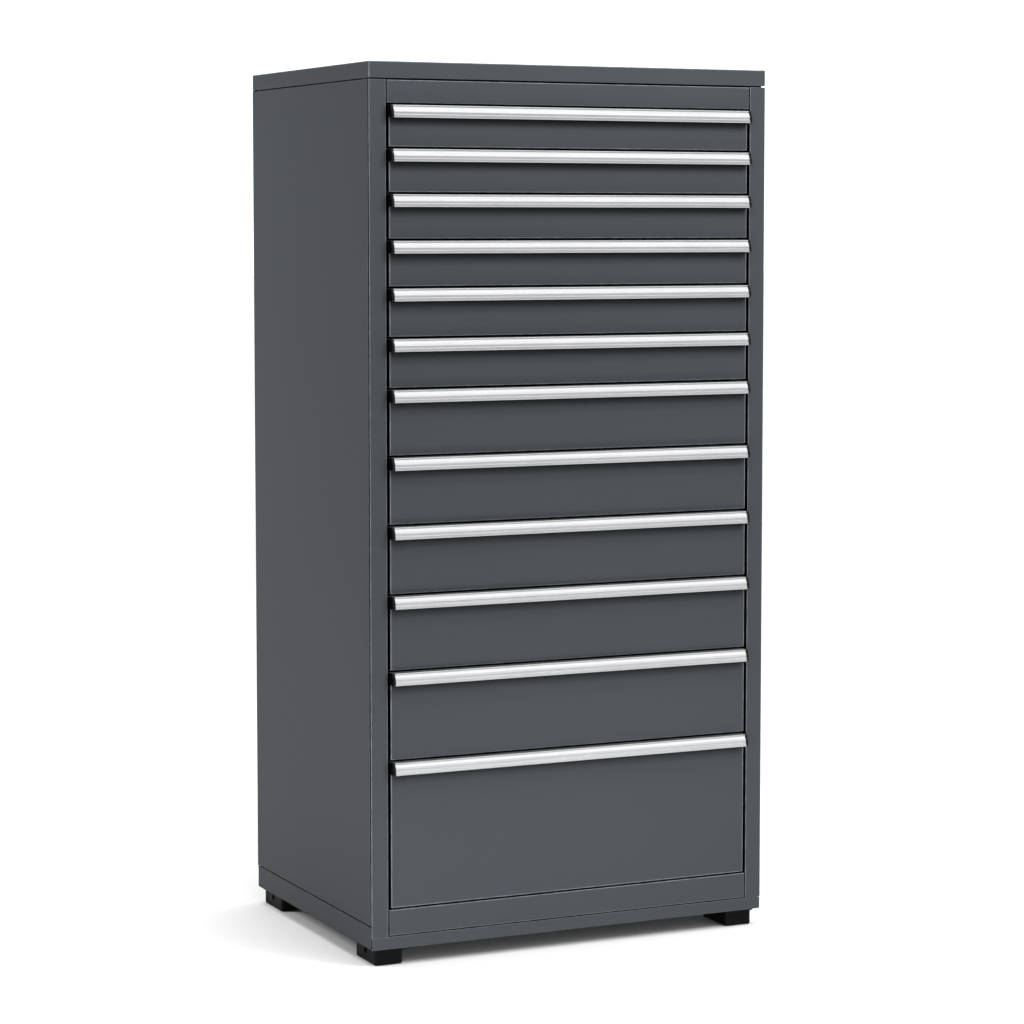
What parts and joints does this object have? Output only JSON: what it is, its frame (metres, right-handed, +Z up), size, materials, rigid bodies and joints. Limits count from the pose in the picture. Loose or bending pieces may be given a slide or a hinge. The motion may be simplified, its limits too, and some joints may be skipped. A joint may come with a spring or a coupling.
{
  "type": "tool cabinet",
  "caption": "Tall steel tool cabinet with full-width drawers on telescopic slides, aluminium grip rails and black block feet.",
  "frame": {"origin": "on the floor under the middle of the whole outline, grips included, with every drawer shut", "axes": "+Z up; -Y towards the user, the way the drawers open; +X to the user's right when facing the drawers"},
  "size_m": [0.717, 0.54, 1.45],
  "materials": {
    "painted_steel": "fine textured powder coat, satin, dark blue-grey",
    "zinc_steel": "bright zinc-plated rolled steel",
    "handle_aluminium": "satin anodised extrusion",
    "black_plastic": "moulded, fine grain"
  },
  "bodies": {
    "housing": {"left_side_panel": "painted_steel", "right_side_panel": "painted_steel", "back_panel": "painted_steel", "top_cover": "painted_steel", "base_frame": "painted_steel", "front_top_rail": "painted_steel", "left_runner_wall": "zinc_steel", "right_runner_wall": "zinc_steel", "front_left_foot": "black_plastic", "front_right_foot": "black_plastic", "rear_left_foot": "black_plastic", "rear_right_foot": "black_plastic"},
    "drawer_01": {"drawer_01_box": "painted_steel", "drawer_01_handle": "handle_aluminium"},
    "slides_01": {"drawer_01_slide_left": "zinc_steel", "drawer_01_slide_right": "zinc_steel"},
    "drawer_02": {"drawer_02_box": "painted_steel", "drawer_02_handle": "handle_aluminium"},
    "slides_02": {"drawer_02_slide_left": "zinc_steel", "drawer_02_slide_right": "zinc_steel"},
    "drawer_03": {"drawer_03_box": "painted_steel", "drawer_03_handle": "handle_aluminium"},
    "slides_03": {"drawer_03_slide_left": "zinc_steel", "drawer_03_slide_right": "zinc_steel"},
    "drawer_04": {"drawer_04_box": "painted_steel", "drawer_04_handle": "handle_aluminium"},
    "slides_04": {"drawer_04_slide_left": "zinc_steel", "drawer_04_slide_right": "zinc_steel"},
    "drawer_05": {"drawer_05_box": "painted_steel", "drawer_05_handle": "handle_aluminium"},
    "slides_05": {"drawer_05_slide_left": "zinc_steel", "drawer_05_slide_right": "zinc_steel"},
    "drawer_06": {"drawer_06_box": "painted_steel", "drawer_06_handle": "handle_aluminium"},
    "slides_06": {"drawer_06_slide_left": "zinc_steel", "drawer_06_slide_right": "zinc_steel"},
    "drawer_07": {"drawer_07_box": "painted_steel", "drawer_07_handle": "handle_aluminium"},
    "slides_07": {"drawer_07_slide_left": "zinc_steel", "drawer_07_slide_right": "zinc_steel"},
    "drawer_08": {"drawer_08_box": "painted_steel", "drawer_08_handle": "handle_aluminium"},
    "slides_08": {"drawer_08_slide_left": "zinc_steel", "drawer_08_slide_right": "zinc_steel"},
    "drawer_09": {"drawer_09_box": "painted_steel", "drawer_09_handle": "handle_aluminium"},
    "slides_09": {"drawer_09_slide_left": "zinc_steel", "drawer_09_slide_right": "zinc_steel"},
    "drawer_10": {"drawer_10_box": "painted_steel", "drawer_10_handle": "handle_aluminium"},
    "slides_10": {"drawer_10_slide_left": "zinc_steel", "drawer_10_slide_right": "zinc_steel"},
    "drawer_11": {"drawer_11_box": "painted_steel", "drawer_11_handle": "handle_aluminium"},
    "slides_11": {"drawer_11_slide_left": "zinc_steel", "drawer_11_slide_right": "zinc_steel"},
    "drawer_12": {"drawer_12_box": "painted_steel", "drawer_12_handle": "handle_aluminium"},
    "slides_12": {"drawer_12_slide_left": "zinc_steel", "drawer_12_slide_right": "zinc_steel"}
  },
  "joints": [
    {"name": "drawer_01_slide", "type": "slide", "parent": "housing", "child": "drawer_01", "axis": [0, -1, 0], "range_m": [0, 0.44]},
    {"name": "slides_01_slide", "type": "slide", "parent": "housing", "child": "slides_01", "axis": [0, -1, 0], "range_m": [0, 0.22]},
    {"name": "drawer_02_slide", "type": "slide", "parent": "housing", "child": "drawer_02", "axis": [0, -1, 0], "range_m": [0, 0.44]},
    {"name": "slides_02_slide", "type": "slide", "parent": "housing", "child": "slides_02", "axis": [0, -1, 0], "range_m": [0, 0.22]},
    {"name": "drawer_03_slide", "type": "slide", "parent": "housing", "child": "drawer_03", "axis": [0, -1, 0], "range_m": [0, 0.44]},
    {"name": "slides_03_slide", "type": "slide", "parent": "housing", "child": "slides_03", "axis": [0, -1, 0], "range_m": [0, 0.22]},
    {"name": "drawer_04_slide", "type": "slide", "parent": "housing", "child": "drawer_04", "axis": [0, -1, 0], "range_m": [0, 0.44]},
    {"name": "slides_04_slide", "type": "slide", "parent": "housing", "child": "slides_04", "axis": [0, -1, 0], "range_m": [0, 0.22]},
    {"name": "drawer_05_slide", "type": "slide", "parent": "housing", "child": "drawer_05", "axis": [0, -1, 0], "range_m": [0, 0.44]},
    {"name": "slides_05_slide", "type": "slide", "parent": "housing", "child": "slides_05", "axis": [0, -1, 0], "range_m": [0, 0.22]},
    {"name": "drawer_06_slide", "type": "slide", "parent": "housing", "child": "drawer_06", "axis": [0, -1, 0], "range_m": [0, 0.44]},
    {"name": "slides_06_slide", "type": "slide", "parent": "housing", "child": "slides_06", "axis": [0, -1, 0], "range_m": [0, 0.22]},
    {"name": "drawer_07_slide", "type": "slide", "parent": "housing", "child": "drawer_07", "axis": [0, -1, 0], "range_m": [0, 0.44]},
    {"name": "slides_07_slide", "type": "slide", "parent": "housing", "child": "slides_07", "axis": [0, -1, 0], "range_m": [0, 0.22]},
    {"name": "drawer_08_slide", "type": "slide", "parent": "housing", "child": "drawer_08", "axis": [0, -1, 0], "range_m": [0, 0.44]},
    {"name": "slides_08_slide", "type": "slide", "parent": "housing", "child": "slides_08", "axis": [0, -1, 0], "range_m": [0, 0.22]},
    {"name": "drawer_09_slide", "type": "slide", "parent": "housing", "child": "drawer_09", "axis": [0, -1, 0], "range_m": [0, 0.44]},
    {"name": "slides_09_slide", "type": "slide", "parent": "housing", "child": "slides_09", "axis": [0, -1, 0], "range_m": [0, 0.22]},
    {"name": "drawer_10_slide", "type": "slide", "parent": "housing", "child": "drawer_10", "axis": [0, -1, 0], "range_m": [0, 0.44]},
    {"name": "slides_10_slide", "type": "slide", "parent": "housing", "child": "slides_10", "axis": [0, -1, 0], "range_m": [0, 0.22]},
    {"name": "drawer_11_slide", "type": "slide", "parent": "housing", "child": "drawer_11", "axis": [0, -1, 0], "range_m": [0, 0.44]},
    {"name": "slides_11_slide", "type": "slide", "parent": "housing", "child": "slides_11", "axis": [0, -1, 0], "range_m": [0, 0.22]},
    {"name": "drawer_12_slide", "type": "slide", "parent": "housing", "child": "drawer_12", "axis": [0, -1, 0], "range_m": [0, 0.44]},
    {"name": "slides_12_slide", "type": "slide", "parent": "housing", "child": "slides_12", "axis": [0, -1, 0], "range_m": [0, 0.22]}
  ],
  "couplings": [
    {"joint": "slides_01_slide", "follows": "drawer_01_slide", "ratio": 0.5},
    {"joint": "slides_02_slide", "follows": "drawer_02_slide", "ratio": 0.5},
    {"joint": "slides_03_slide", "follows": "drawer_03_slide", "ratio": 0.5},
    {"joint": "slides_04_slide", "follows": "drawer_04_slide", "ratio": 0.5},
    {"joint": "slides_05_slide", "follows": "drawer_05_slide", "ratio": 0.5},
    {"joint": "slides_06_slide", "follows": "drawer_06_slide", "ratio": 0.5},
    {"joint": "slides_07_slide", "follows": "drawer_07_slide", "ratio": 0.5},
    {"joint": "slides_08_slide", "follows": "drawer_08_slide", "ratio": 0.5},
    {"joint": "slides_09_slide", "follows": "drawer_09_slide", "ratio": 0.5},
    {"joint": "slides_10_slide", "follows": "drawer_10_slide", "ratio": 0.5},
    {"joint": "slides_11_slide", "follows": "drawer_11_slide", "ratio": 0.5},
    {"joint": "slides_12_slide", "follows": "drawer_12_slide", "ratio": 0.5}
  ]
}
